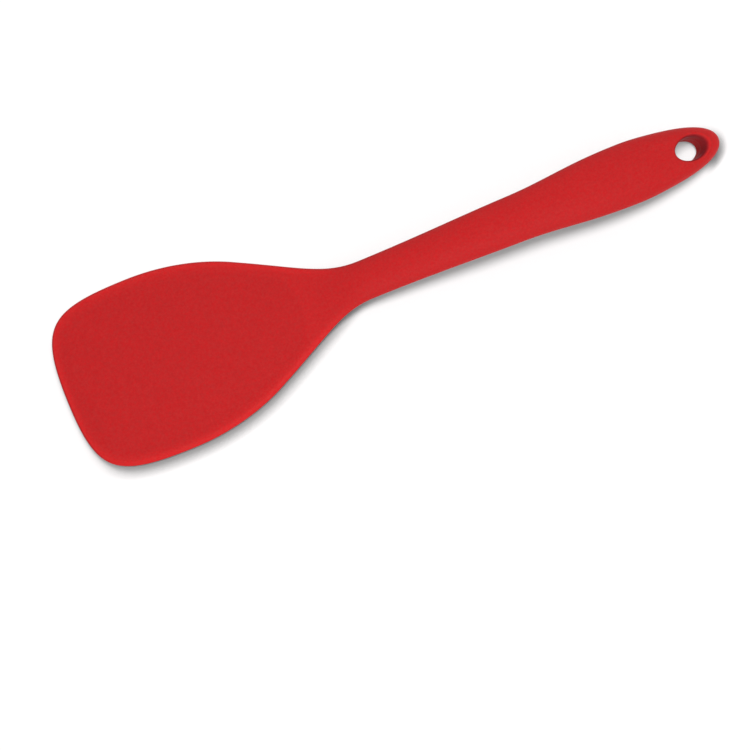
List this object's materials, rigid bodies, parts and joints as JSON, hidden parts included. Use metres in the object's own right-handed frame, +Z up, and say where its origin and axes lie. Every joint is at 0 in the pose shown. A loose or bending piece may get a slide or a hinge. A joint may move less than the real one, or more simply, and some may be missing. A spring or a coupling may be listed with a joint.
{
  "type": "silicone spoon",
  "caption": "Red silicone cooking spoon of the broad turner kind, with a slim neck, a swelling handle and an oval hanging hole",
  "frame": {"origin": "on the surface that the tool lies on, under the middle of its box", "axes": "+X along the tool towards the end with the hanging hole, +Y across it, +Z up from the underside"},
  "size_m": [0.2884, 0.075, 0.0169],
  "materials": {
    "cover_silicone": "matte moulded silicone",
    "core_nylon": "glass-filled, as moulded",
    "core_steel": "rolled spring steel"
  },
  "bodies": {
    "root": {"silicone_cover": "cover_silicone", "locator_plug_blade_front": "cover_silicone", "locator_plug_blade_rear": "cover_silicone", "locator_plug_handle_front": "cover_silicone", "locator_plug_handle_rear": "cover_silicone", "blade_plate": "core_steel", "core_top": "core_nylon", "core_bottom": "core_nylon", "core_rivet_front": "core_steel", "core_rivet_middle": "core_steel", "core_rivet_rear": "core_steel"}
  },
  "joints": []
}
